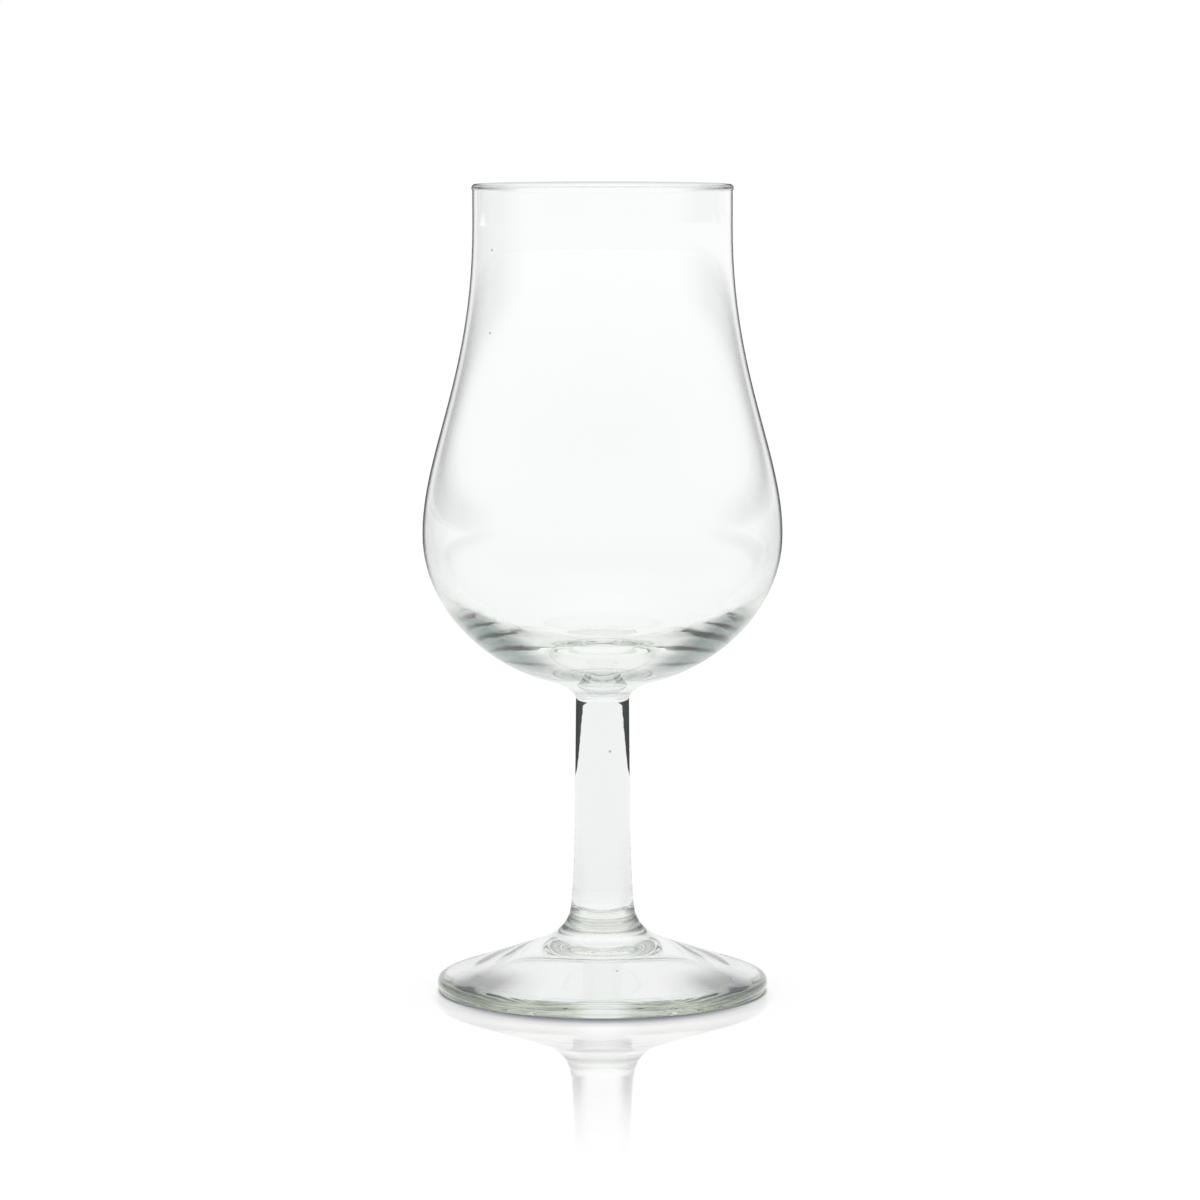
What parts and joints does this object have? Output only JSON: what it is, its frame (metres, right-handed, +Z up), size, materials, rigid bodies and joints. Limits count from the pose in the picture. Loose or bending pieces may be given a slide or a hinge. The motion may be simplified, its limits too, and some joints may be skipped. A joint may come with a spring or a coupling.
{
  "type": "stemmed nosing glass",
  "caption": "Clear stemmed nosing glass: a round-bellied bowl drawn in to a straight chimney, a short solid stem and a broad flared foot.",
  "frame": {"origin": "centre of the foot's underside, on the surface that the glass stands on", "axes": "+Z up along the glass's axis, from the foot to the rim; the glass is round, so X and Y are alike"},
  "size_m": [0.0648, 0.0648, 0.146],
  "materials": {
    "clear_glass": "clear, fire-polished, with a faint grey-green cast where it is thick"
  },
  "bodies": {
    "root": {"bowl": "clear_glass", "stem": "clear_glass", "foot": "clear_glass"}
  },
  "joints": []
}
